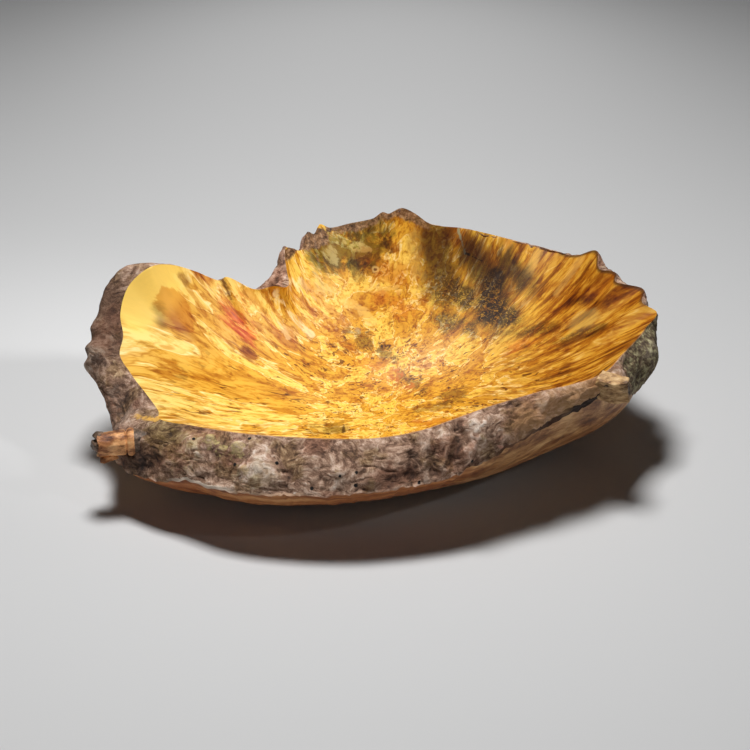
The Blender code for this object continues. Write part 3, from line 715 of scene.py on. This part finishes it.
def oiled_burl():
    """Spalted maple burl, hollowed, sanded fine and oiled: golden wood whose figure shows as small eyes
    on the floor and as streaks up both ends, with cream veins that also carry a painted sheen by the
    notch, brown and charcoal stains of spalting, a painted shadow line above the knob, and a soft satin
    gloss."""
    material, tree, shader = start_material("oiled_spalted_maple_burl", IOR=1.45, Specular_IOR_Level=0.3)
    place = place_in_mm(tree)
    grain = figure_place(tree, place)
    bent = shaken(tree, grain, 30.0, 12.0)
    bent = shaken(tree, bent, 8.0, 5.0)
    # up the right wall its lines run straighter
    parts = add(tree, "SeparateXYZ", {0: place}).node.outputs
    at_right = add(tree, "MapRange", {0: parts[0], 1: 110.0, 2: 190.0}, **EASED)
    straight = add(tree, "Math", {0: at_right, 1: 0.85}, operation="MULTIPLY")
    bent = add(tree, "Mix", {0: straight, 4: bent, 5: grain}, out=1, data_type="VECTOR")

    # slow drift of colour from pale gold at the left to amber at the right, in clouds 60 mm across
    drift = add(tree, "MapRange", {0: parts[0], 1: -230.0, 2: 270.0})
    clouds = add(tree, "TexNoise", {"Vector": place, "Scale": 1 / 60, "Detail": 3.0})
    clouds = add(tree, "Math", {0: clouds, 1: 0.5}, operation="SUBTRACT")
    drift = add(tree, "Math", {0: clouds, 1: 0.6, 2: drift}, operation="MULTIPLY_ADD")
    colour = add(
        tree, "ValToRGB", {0: drift},
        stops=[(0.0, "#FBDA84"), (0.3, "#FBD468"), (0.62, "#F8CA50"), (0.88, "#E0B24E")],
    )
    # figure: tan cells 13 mm across, each with a fine brown rim inside a cream one
    flame = add(
        tree, "TexNoise",
        {"Vector": bent, "Scale": 1 / 13, "Detail": 4.0, "Roughness": 0.52, "Distortion": 0.5},
    )
    cells = add(
        tree, "ValToRGB", {0: flame},
        stops=[
            (0.4, "#FFFFFF"), (0.497, "#F6E8C8"), (0.507, "#CEAC6C"), (0.522, "#E9D5A0"), (0.6, "#E4CC92"),
            (0.68, "#C8A668"),
        ],
    )
    not_right = add(tree, "Math", {0: at_right, 1: -0.6, 2: 1.0}, operation="MULTIPLY_ADD")
    colour = add(tree, "Mix", {0: not_right, 6: colour, 7: cells}, **SOAKED_IN)
    outline = add(tree, "Math", {0: flame, 1: 0.478}, operation="SUBTRACT")
    outline = add(tree, "Math", {0: outline}, operation="ABSOLUTE")
    outline = add(tree, "MapRange", {0: outline, 1: 0.02, 2: 0.002, 4: 0.75}, **EASED)
    outline = add(tree, "Math", {0: outline, 1: not_right}, operation="MULTIPLY")
    colour = add(tree, "Mix", {0: outline, 6: colour, 7: linear("#FFE6A4")}, **LAID_OVER)
    # brown shadows of small knots, 6 mm across
    knots = add(
        tree, "TexNoise",
        {"Vector": bent, "Scale": 1 / 6, "Detail": 3.0, "Roughness": 0.6, "Distortion": 1.0},
    )
    knots = add(tree, "MapRange", {0: knots, 1: 0.53, 2: 0.62, 4: 0.75}, **EASED)
    colour = add(tree, "Mix", {0: knots, 6: colour, 7: linear("#D0AE6C")}, **SOAKED_IN)
    # fine streaks of single growth layers, 2 mm apart and less
    streak = add(tree, "TexNoise", {"Vector": bent, "Scale": 1 / 2.2, "Detail": 4.0, "Roughness": 0.65})
    streak_shade = add(
        tree, "ValToRGB", {0: streak}, stops=[(0.34, "#BC9C5C"), (0.44, "#EDDCB0"), (0.54, "#FFFFFF")]
    )
    colour = add(tree, "Mix", {0: 0.95, 6: colour, 7: streak_shade}, **SOAKED_IN)
    # brown and orange streaks up the right wall
    drawn_out = add(tree, "VectorMath", {0: grain, 1: (0.3, 1.0, 0.3)}, operation="MULTIPLY")
    brown = add(tree, "TexNoise", {"Vector": drawn_out, "Scale": 1 / 2.4, "Detail": 5.0, "Roughness": 0.66})
    brown_shade = add(
        tree, "ValToRGB", {0: brown},
        stops=[(0.4, "#FFF6DC"), (0.48, "#F0DCA8"), (0.54, "#C49C5C"), (0.64, "#865E30")],
    )
    colour = add(tree, "Mix", {0: at_right, 6: colour, 7: brown_shade}, **SOAKED_IN)
    # dark pin eyes and flecks in clusters over the floor, 3 mm apart
    fleck = add(tree, "TexNoise", {"Vector": bent, "Scale": 1 / 3.0, "Detail": 2.0, "Distortion": 1.2})
    fleck = add(tree, "MapRange", {0: fleck, 1: 0.58, 2: 0.65, 4: 0.9}, **EASED)
    cluster = add(tree, "TexNoise", {"Vector": place, "Scale": 1 / 24, "Detail": 3.0})
    cluster = add(tree, "MapRange", {0: cluster, 1: 0.44, 2: 0.54}, **EASED)
    fleck = add(tree, "Math", {0: fleck, 1: cluster}, operation="MULTIPLY")
    low = add(tree, "MapRange", {0: parts[2], 1: 105.0, 2: 62.0}, **EASED)
    fleck = add(tree, "Math", {0: fleck, 1: low}, operation="MULTIPLY")
    colour = add(tree, "Mix", {0: fleck, 6: colour, 7: linear("#7A5830")}, **SOAKED_IN)
    # stains, and the painted sheen and shadow among them, their edges drawn out along the grain
    torn = add(tree, "TexNoise", {"Vector": bent, "Scale": 1 / 9, "Detail": 6.0, "Roughness": 0.7})
    ragged = add(tree, "Math", {0: torn, 1: 4.0, 2: -2.0}, operation="MULTIPLY_ADD")
    colour = marked(tree, colour, place, ragged, STAINS_AND_PAINTED_LIGHT)
    # spalting: the darkest of its patches, less a pale crackle that shows in its lower half
    smoke = 0.0
    for start, end, width, soft, spread, strength in SPALTING:
        patch = mark(tree, place, ragged, start, end, width, soft, spread, strength)
        smoke = add(tree, "Math", {0: patch, 1: smoke}, operation="MAXIMUM")
    crackle = add(
        tree, "TexNoise",
        {"Vector": place, "Scale": 1 / 8, "Detail": 3.0, "Roughness": 0.6, "Distortion": 1.5},
    )
    crackle = add(tree, "Math", {0: crackle, 1: 0.5}, operation="SUBTRACT")
    crackle = add(tree, "Math", {0: crackle}, operation="ABSOLUTE")
    crackle = add(tree, "MapRange", {0: crackle, 1: 0.03, 2: 0.004, 4: 0.7})
    high = add(tree, "MapRange", {0: parts[2], 1: 122.0, 2: 98.0, 3: 0.15})
    crackle = add(tree, "Math", {0: crackle, 1: high}, operation="MULTIPLY")
    shown = add(tree, "Math", {0: 1.0, 1: crackle}, operation="SUBTRACT")
    smoke = add(tree, "Math", {0: smoke, 1: shown}, operation="MULTIPLY")
    colour = add(tree, "Mix", {0: smoke, 6: colour, 7: linear("#433F58")}, **SOAKED_IN)
    # bark that shows inside the edge: knobbly patches at the teeth, and a line along the back
    section_place = add(tree, "TexCoord", {}, out=2)
    across = add(tree, "SeparateXYZ", {0: section_place}, out=1)
    rim = add(tree, "Math", {0: ragged, 1: 0.0035, 2: across}, operation="MULTIPLY_ADD")
    rim = add(tree, "MapRange", {0: rim, 1: 0.326, 2: 0.3285}, **EASED)
    behind = mark(tree, place, ragged, (-20, 176, 168), (44, 184, 176), 20, 8, 4, 0.9)
    bark_cover = add(tree, "Math", {0: rim, 1: behind}, operation="MULTIPLY")
    for start, end, width, soft, spread in INNER_BARK:
        patch = mark(tree, place, ragged, start, end, width, soft, spread, 1.0)
        bark_cover = add(tree, "Math", {0: patch, 1: bark_cover}, operation="MAXIMUM")
    rough_bark = add(tree, "TexNoise", {"Vector": place, "Scale": 1 / 4, "Detail": 5.0, "Roughness": 0.72})
    bark_colour = add(
        tree, "ValToRGB", {0: rough_bark},
        stops=[(0.36, "#38261A"), (0.47, "#70533A"), (0.56, "#987454"), (0.68, "#C2A27C")],
    )
    colour = add(tree, "Mix", {0: bark_cover, 6: colour, 7: bark_colour}, **LAID_OVER)
    # dark inner bark at the tips of the lobes at the right
    tips = add(tree, "MapRange", {0: across, 1: 0.3298, 2: 0.3325}, **EASED)
    at_tips = mark(tree, place, ragged, (214, 136, 160), (276, 62, 150), 26, 10, 14, 0.8)
    tips = add(tree, "Math", {0: tips, 1: at_tips}, operation="MULTIPLY")
    colour = add(tree, "Mix", {0: tips, 6: colour, 7: linear("#4A301C")}, **LAID_OVER)
    # the oil soaks in unevenly
    gloss = add(tree, "MapRange", {0: streak, 1: 0.3, 2: 0.7, 3: 0.52, 4: 0.38})
    tree.links.new(gloss, shader.inputs["Roughness"])
    coat(tree, shader, colour, streak, 0.25, 0.4)
    return material


# Strips of the natural surface along its lower edge, pale where it frays and painted shade in the
# undercut at the right: first and last bearing, where across the section each starts, and colour
FRAYED_EDGE_AND_UNDERCUT_SHADE = [
    (218, 234, 0.649, "#D8C4B0"),
    (234, 252, 0.655, "#B8957A"),
    (305, 316, 0.65, "#6B4A35"),
    (315, 326, 0.632, "#4A3020"),
    (325, 338, 0.604, "#2A190F"),
]

# Patches of the natural surface: size in mm, the noise's offset, where each starts and is full, strength and
# colour
SKIN_PATCHES = [
    (34.0, 110.0, 0.48, 0.62, 0.8, "#E8CFC4"),
    (26.0, 230.0, 0.5, 0.64, 0.75, "#D6CFA8"),
    (22.0, 370.0, 0.52, 0.66, 0.5, "#A08C7C"),
]

# Marks of the natural surface, in the columns of STAINS_AND_PAINTED_LIGHT
SKIN_MARKS = [
    # by the branch: a film of green lichen and brown dirt below it, and beside it painted shadow
    # under a row of bumps
    (SOAKED, (-196, -112, 92), (-166, -128, 74), 18, 12, 16, 0.8, "#D6DCA4"),
    (SOAKED, (-206, -112, 74), (-190, -130, 62), 14, 10, 10, 0.6, "#A8845C"),
    (SOAKED, (-146, -142, 86), (-112, -158, 84), 9, 5, 8, 0.6, "#8C6E5C"),
    # pale lichen on the bumps, and bleached wood
    (OVER, (-144, -137, 97), (-142, -140, 93), 4, 3.5, 9, 0.5, "#DCCA84"),
    (OVER, (-136, -149, 96), (-134, -151, 92), 4, 3.5, 9, 0.5, "#DCCA80"),
    (OVER, (-121, -155, 98), (-119, -158, 93), 5.5, 4, 10, 0.5, "#E2CE8C"),
    (OVER, (-112, -173, 83), (-110, -174, 81), 3.5, 2, 3, 0.6, "#CDAE7C"),
    (OVER, (-100, -176, 88), (-92, -180, 80), 9, 5, 10, 0.4, "#CDB492"),
    # tan wood towards the knob, and painted shade in the bottoms of three furrows
    (OVER, (150, -146, 112), (214, -98, 122), 22, 14, 12, 0.5, "#C0925F"),
    (SOAKED, (40, -158, 102), (32, -188, 78), 1.6, 1.6, 3, 0.6, "#7E6658"),
    (SOAKED, (57, -156, 106), (46, -184, 80), 1.6, 1.6, 3, 0.6, "#7E6658"),
    (SOAKED, (80, -152, 114), (66, -182, 82), 2.4, 2.4, 3, 0.6, "#7E6658"),
    # shade and dirt round the branch's root, and on the outside of the left lobe
    (SOAKED, (-222, -118, 62), (-212, -126, 58), 12, 7, 5, 0.85, "#66503F"),
    (SOAKED, (-216, -104, 86), (-206, -110, 86), 8, 5, 4, 0.5, "#8A705A"),
    (SOAKED, (-268, 40, 156), (-262, 2, 124), 32, 16, 12, 0.85, "#82705F"),
    (SOAKED, (-236, -44, 96), (-222, -66, 92), 12, 6, 10, 0.5, "#86766C"),
    (OVER, (-250, -50, 90), (-236, -78, 84), 10, 6, 10, 0.45, "#A8917F"),
    # a pink scar across the band, a strip of golden wood at the left, and dark brown behind the knob
    (OVER, (84, -150, 115), (121, -150, 90), 1.1, 0.6, 2.5, 0.8, "#D8A088"),
    (OVER, (-232, -79, 90), (-198, -95, 91), 4.6, 1.0, 1, 0.95, "#E2AC50"),
    (OVER, (216, -80, 134), (238, -66, 134), 6, 4, 6, 0.75, "#6E4E34"),
    # the dark hollow of the knot at the left and its pale rim, and a chip at the lower edge
    (OVER, (-257, -22, 113), (-263, -19, 112), 6, 2.5, 4, 0.85, "#3A2418"),
    (OVER, (-257, -24, 121), (-262, -16, 121), 2.5, 1.5, 3, 0.6, "#B88E66"),
    (OVER, (-66, -192, 67), (-63, -192, 66), 2.3, 0.8, 1, 0.9, "#E0D4C6"),
]


def burl_skin():
    """The burl's natural surface with its bark peeled off, weathered: grey-brown and pinkish felted
    fibres that swirl round every bump, matt, with painted shade in the hollows and painted light on the
    tops, with beetle holes painted as dark discs, and lichen."""
    material, tree, shader = start_material("weathered_burl_skin", Roughness=0.88)
    place = place_in_mm(tree)
    bent = shaken(tree, place, 20.0, 10.0)
    # felted fibres 2 mm apart and 16 mm long, which follow the contour lines of smooth noise that is
    # drawn out sideways, so most of them lie level; real ones lie some 0.3 mm apart, too close to show
    felt = []
    level_place = add(tree, "VectorMath", {0: bent, 1: (0.55, 0.55, 1.0)}, operation="MULTIPLY")
    for size, lines, offset in ((34.0, 15.0, 0.0), (22.0, 10.0, 300.0)):
        moved = add(tree, "VectorMath", {0: level_place, 1: (offset, offset, offset)}, operation="ADD")
        level = add(tree, "TexNoise", {"Vector": moved, "Scale": 1 / size, "Detail": 1.0}, out=1)
        raised = add(tree, "VectorMath", {0: level, "Scale": lines}, operation="SCALE")
        strand = add(
            tree, "VectorMath", {0: place, 1: (1 / 16, 1 / 16, 1 / 16), 2: raised}, operation="MULTIPLY_ADD"
        )
        strand = add(tree, "TexNoise", {"Vector": strand, "Scale": 1.0, "Detail": 4.0, "Roughness": 0.62})
        felt.append(strand)
    choose = add(tree, "TexNoise", {"Vector": place, "Scale": 1 / 9, "Detail": 2.0})
    choose = add(tree, "MapRange", {0: choose, 1: 0.44, 2: 0.56}, **EASED)
    fibre = add(tree, "Mix", {0: choose, 2: felt[0], 3: felt[1]}, data_type="FLOAT")
    speck = add(tree, "TexNoise", {"Vector": place, "Scale": 1 / 1.6, "Detail": 3.0, "Roughness": 0.7})
    cloud = add(tree, "TexNoise", {"Vector": place, "Scale": 1 / 22, "Detail": 4.0, "Roughness": 0.6})
    cloud = add(tree, "Math", {0: cloud, 1: 0.22, 2: -0.225}, operation="MULTIPLY_ADD")
    tone = add(tree, "Math", {0: fibre, 1: 1.25, 2: cloud}, operation="MULTIPLY_ADD")
    speck_part = add(tree, "Math", {0: speck, 1: 0.32, 2: -0.16}, operation="MULTIPLY_ADD")
    tone = add(tree, "Math", {0: tone, 1: speck_part}, operation="ADD")
    # painted shade in the low places and painted light on the high ones, by how far the surface stands out
    painted_relief_shading = add(tree, "Attribute", {}, out=2, attribute_name="relief")
    painted_relief_shading = add(tree, "MapRange", {0: painted_relief_shading, 1: -4.0, 2: 7.0, 3: -0.15, 4: 0.22})
    tone = add(tree, "Math", {0: tone, 1: painted_relief_shading}, operation="ADD")
    colour = add(
        tree, "ValToRGB", {0: tone},
        stops=[(0.2, "#4A3528"), (0.36, "#775845"), (0.5, "#A3826B"), (0.64, "#CAAB95"), (0.82, "#EEDBCA")],
    )
    # patches of pinkish, olive and bleached wood, 20 to 40 mm across
    for size, offset, least, most, strength, tint in SKIN_PATCHES:
        moved = add(tree, "VectorMath", {0: bent, 1: (offset, offset, offset)}, operation="ADD")
        patch = add(tree, "TexNoise", {"Vector": moved, "Scale": 1 / size, "Detail": 3.0, "Roughness": 0.6})
        patch = add(tree, "MapRange", {0: patch, 1: least, 2: most, 4: strength}, **EASED)
        colour = add(tree, "Mix", {0: patch, 6: colour, 7: linear(tint)}, **SOAKED_IN)
    # crusts of grey-green lichen on the lump at the right end, 5 mm across
    crust = add(tree, "TexNoise", {"Vector": place, "Scale": 1 / 5, "Detail": 4.0, "Roughness": 0.7})
    crust_colour = add(
        tree, "ValToRGB", {0: crust},
        stops=[(0.38, "#2C2318"), (0.48, "#5A4F36"), (0.57, "#8E8763"), (0.68, "#BDB78E")],
    )
    at_lump = mark(tree, place, 0.0, (264, -44, 112), (276, 16, 112), 32, 12, 0.0, 0.85)
    colour = add(tree, "Mix", {0: at_lump, 6: colour, 7: crust_colour}, **LAID_OVER)
    ragged = add(tree, "TexNoise", {"Vector": place, "Scale": 1 / 6, "Detail": 5.0, "Roughness": 0.7})
    ragged = add(tree, "Math", {0: ragged, 1: 4.0, 2: -2.0}, operation="MULTIPLY_ADD")
    colour = marked(tree, colour, place, ragged, SKIN_MARKS)
    # each beetle hole is a near-black disc of painted shade
    for hole in BORE_HOLES:
        distance = add(tree, "VectorMath", {0: place, 1: hole}, operation="DISTANCE", out=1)
        inside = add(tree, "MapRange", {0: distance, 1: 2.1, 2: 1.5}, **EASED)
        colour = add(tree, "Mix", {0: inside, 6: colour, 7: linear("#0C0705")}, **LAID_OVER)
    # along the hollow's near edge a pinkish line of fresh wood
    section_place = add(tree, "TexCoord", {}, out=2)
    around_place = add(tree, "SeparateXYZ", {0: section_place}).node.outputs
    edge_line = add(tree, "Math", {0: ragged, 1: 0.0015, 2: around_place[1]}, operation="MULTIPLY_ADD")
    edge_line = add(tree, "MapRange", {0: edge_line, 1: 0.3405, 2: 0.337, 4: 0.8}, **EASED)
    is_near = add(tree, "MapRange", {0: around_place[0], 1: 0.6, 2: 0.63})
    edge_line = add(tree, "Math", {0: edge_line, 1: is_near}, operation="MULTIPLY")
    colour = add(tree, "Mix", {0: edge_line, 6: colour, 7: linear("#C8966C")}, **LAID_OVER)
    # the lower edge: a pale strip that flakes off at the left, and painted shade in the undercut at the
    # right
    lowest = add(tree, "Math", {0: ragged, 1: 0.009, 2: around_place[1]}, operation="MULTIPLY_ADD")
    for first, last, top, paint in FRAYED_EDGE_AND_UNDERCUT_SHADE:
        strip = add(tree, "MapRange", {0: lowest, 1: top, 2: top + 0.003}, **EASED)
        from_here = add(tree, "MapRange", {0: around_place[0], 1: first / 360, 2: (first + 4) / 360})
        to_here = add(tree, "MapRange", {0: around_place[0], 1: (last + 3) / 360, 2: last / 360})
        strip = add(tree, "Math", {0: strip, 1: from_here}, operation="MULTIPLY")
        strip = add(tree, "Math", {0: strip, 1: to_here}, operation="MULTIPLY")
        colour = add(tree, "Mix", {0: strip, 6: colour, 7: linear(paint)}, **LAID_OVER)
    rise = add(tree, "Math", {0: speck, 1: 0.3, 2: fibre}, operation="MULTIPLY_ADD")
    coat(tree, shader, colour, rise, 0.9, 2.2)
    return material


# Marks of the underside, in the columns of STAINS_AND_PAINTED_LIGHT: redder in front, greener and greyer to the right
UNDERSIDE_MARKS = [
    (SOAKED, (-210, -130, 40), (60, -170, 50), 41.4, 27.6, 30, 0.8, "#DCAA88"),
    (SOAKED, (130, -150, 70), (240, -80, 80), 23.4, 15.6, 30, 0.7, "#C9BD9A"),
    (SOAKED, (150, -110, 40), (240, -60, 60), 19.8, 13.2, 30, 0.6, "#D2B08A"),
]


def carved_underside():
    """Maple burl carved and sanded, without the hollow's oil: tan and reddish brown, its grain running
    lengthwise, with a dull sheen."""
    material, tree, shader = start_material("carved_maple_underside", Roughness=0.52)
    place = place_in_mm(tree)
    bent = shaken(tree, place, 60.0, 26.0)
    long_grain = add(tree, "VectorMath", {0: bent, 1: (0.07, 0.6, 1.0)}, operation="MULTIPLY")
    broad = add(tree, "TexNoise", {"Vector": long_grain, "Scale": 1 / 11, "Detail": 4.0, "Roughness": 0.6})
    fine = add(tree, "TexNoise", {"Vector": long_grain, "Scale": 1 / 1.6, "Detail": 3.0, "Roughness": 0.6})
    tone = add(tree, "Math", {0: fine, 1: 0.35, 2: broad}, operation="MULTIPLY_ADD")
    colour = add(
        tree, "ValToRGB", {0: tone},
        stops=[(0.46, "#6E4628"), (0.6, "#A06C42"), (0.7, "#C08C5A"), (0.84, "#DCB078")],
    )
    torn = add(tree, "Math", {0: broad, 1: 2.0, 2: -1.0}, operation="MULTIPLY_ADD")
    colour = marked(tree, colour, place, torn, UNDERSIDE_MARKS)
    coat(tree, shader, colour, fine, 0.3, 0.4)
    return material


def torn_wood(name, stops, size, stretch, marks=()):
    """Freshly broken wood, unfinished: streaks along the torn fibres, matt, darker in the low places of
    its bumps."""
    material, tree, shader = start_material(name, Roughness=0.62)
    place = place_in_mm(tree)
    bent = shaken(tree, place, 9.0, 5.0)
    fibres = add(tree, "VectorMath", {0: bent, 1: stretch}, operation="MULTIPLY")
    grain = add(tree, "TexNoise", {"Vector": fibres, "Scale": 1 / size, "Detail": 5.0, "Roughness": 0.65})
    colour = add(tree, "ValToRGB", {0: grain}, stops=stops)
    ragged = add(tree, "Math", {0: grain, 1: 3.0, 2: -1.5}, operation="MULTIPLY_ADD")
    colour = marked(tree, colour, place, ragged, marks)
    coat(tree, shader, colour, grain, 0.6, 0.8)
    return material


def put(mesh, *materials):
    """Places a finished piece on the bowl's one body."""
    piece = bpy.data.objects.new(mesh.name, mesh)
    bpy.context.scene.collection.objects.link(piece)
    for material in materials:
        mesh.materials.append(material)
    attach(piece, "root")
    return piece


# Marks of the broken branch: painted shade low on its end, and dirt along its top
STUB_MARKS = [
    (SOAKED, (-254, -118, 70), (-242, -120, 76), 8, 4, 6, 0.6, "#A07858"),
    (SOAKED, (-252, -110, 84), (-222, -108, 84), 3, 2, 3, 0.75, "#6A4A38"),
]

# Marks of the broken knob: dirt at its right end, a greyed break at its left, and a fine dark crack
KNOB_MARKS = [
    (SOAKED, (234, -92, 122), (240, -84, 108), 6.3, 4.2, 3, 0.95, "#3A2518"),
    (SOAKED, (206, -98, 120), (218, -102, 112), 7.2, 4.8, 4, 0.8, "#A89C7C"),
    (SOAKED, (216, -98, 126), (238, -92, 116), 1.1, 0.7, 3, 0.9, "#3A2216"),
]

hollow_wood = oiled_burl()
skin = burl_skin()
underside_wood = carved_underside()
# maple of the broken branch, reddish and bright where it tore
branch_wood = torn_wood(
    "broken_branch_wood", [(0.3, "#4A2A16"), (0.42, "#A4683C"), (0.55, "#E6A468"), (0.72, "#FFD094")],
    5.0, (0.35, 0.6, 1.0), STUB_MARKS,
)
# maple of the knob, an older break, so tanner and duller
knob_wood = torn_wood(
    "broken_knob_wood", [(0.3, "#5A3A20"), (0.42, "#A0764A"), (0.55, "#CBA26C"), (0.72, "#E8C896")],
    5.0, (0.5, 1.0, 1.6), KNOB_MARKS,
)
# maple bark in crumbling flakes, dark and grey-brown
bark = torn_wood(
    "bark_flake", [(0.3, "#241A15"), (0.45, "#54402F"), (0.58, "#7E6450"), (0.72, "#A68C76")],
    4.0, (1.0, 1.0, 1.0),
)

burl = put(burl_mesh(), hollow_wood, skin, underside_wood)
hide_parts("burl_bowl")
put(stub_mesh(), branch_wood, bark)

# Chips at the knob and the branch: name, centre, direction, half sizes, sharpness, roughness, seed, wood
CHIPS = [
    ("knob_block", (225, -89, 120), (-0.15, -0.45, 1), (14, 9, 11), 60, 0.07, 51, knob_wood),
    ("flake_upper", (-249, -112, 80), (-0.9, -0.4, 0.5), (4.5, 4, 3.5), 9, 0.16, 61, bark),
    ("flake_lower", (-252, -113, 71), (-0.9, -0.3, 0), (6, 5, 3.5), 9, 0.16, 63, bark),
    ("peeled_strip", (-240, -114, 61), (0.2, -0.3, 1), (9, 4, 2.2), 9, 0.12, 65, branch_wood),
]
for *chip, wood in CHIPS:
    put(chip_mesh(*chip), wood)


def floor_mesh():
    """A flat square of pale seamless studio paper at the height of the table, 8 m each way."""
    half = 4.0
    mesh = bpy.data.meshes.new("floor")
    corners = [(-half, -half, 0.0), (half, -half, 0.0), (half, half, 0.0), (-half, half, 0.0)]
    mesh.from_pydata(corners, [], [(0, 1, 2, 3)])
    paper = start_material("studio_paper", Roughness=0.9, Base_Color=linear("#D2D2D2"))[0]
    mesh.materials.append(paper)
    return mesh


floor = bpy.data.objects.new("floor", floor_mesh())
bpy.context.scene.collection.objects.link(floor)


def lamp(name, kind, power, location, target, **settings):
    """A lamp of this kind and power that shines from a location at a target, with other settings by name."""
    light = bpy.data.lights.new(name, kind)
    light.energy = power
    for key, value in settings.items():
        setattr(light, key, value)
    holder = bpy.data.objects.new(name, light)
    holder.location = location
    holder.rotation_euler = (Vector(target) - Vector(location)).to_track_quat("-Z", "Y").to_euler()
    bpy.context.scene.collection.objects.link(holder)


def cone(degrees, softness):
    """Settings of a round lamp whose light fades to nothing at the edge of a cone."""
    return {"spot_size": math.radians(degrees), "spot_blend": 1.0, "shadow_soft_size": softness}


lamp("key", "AREA", 30.0, (-0.1, 0.05, 1.7), (0.0, 0.0, 0.05), shape="SQUARE", size=0.42)
lamp("front_fill", "AREA", 1.5, (-0.5, -1.9, 0.9), (0.0, 0.0, 0.1), shape="SQUARE", size=1.0)
lamp("background", "SPOT", 26.0, (0.0, 1.9, 1.2), (0.0, 1.3, 0.0), **cone(62, 0.3))
lamp("wall_beam", "SPOT", 64.0, (1.1, -0.64, 1.08), (-0.1, 0.085, 0.11), **cone(15, 0.12))

world = bpy.data.worlds.new("studio_air")
world.use_nodes = True
sky = world.node_tree.nodes["Background"]
sky.inputs["Color"].default_value = (0.9, 0.92, 0.95, 1.0)
sky.inputs["Strength"].default_value = 0.012
bpy.context.scene.world = world
bpy.context.scene.view_settings.view_transform = "Standard"

ELEVATION = math.radians(28.0)
DISTANCE = 1.726
AIM = Vector((0.005, 0.0, 0.085))
lens = bpy.data.cameras.new("camera")
lens.lens = 85.0
lens.sensor_width = 36.0
camera = bpy.data.objects.new("camera", lens)
camera.location = AIM + DISTANCE * Vector((0.0, -math.cos(ELEVATION), math.sin(ELEVATION)))
camera.rotation_euler = (math.pi / 2 - ELEVATION, 0.0, 0.0)
bpy.context.scene.collection.objects.link(camera)
bpy.context.scene.camera = camera
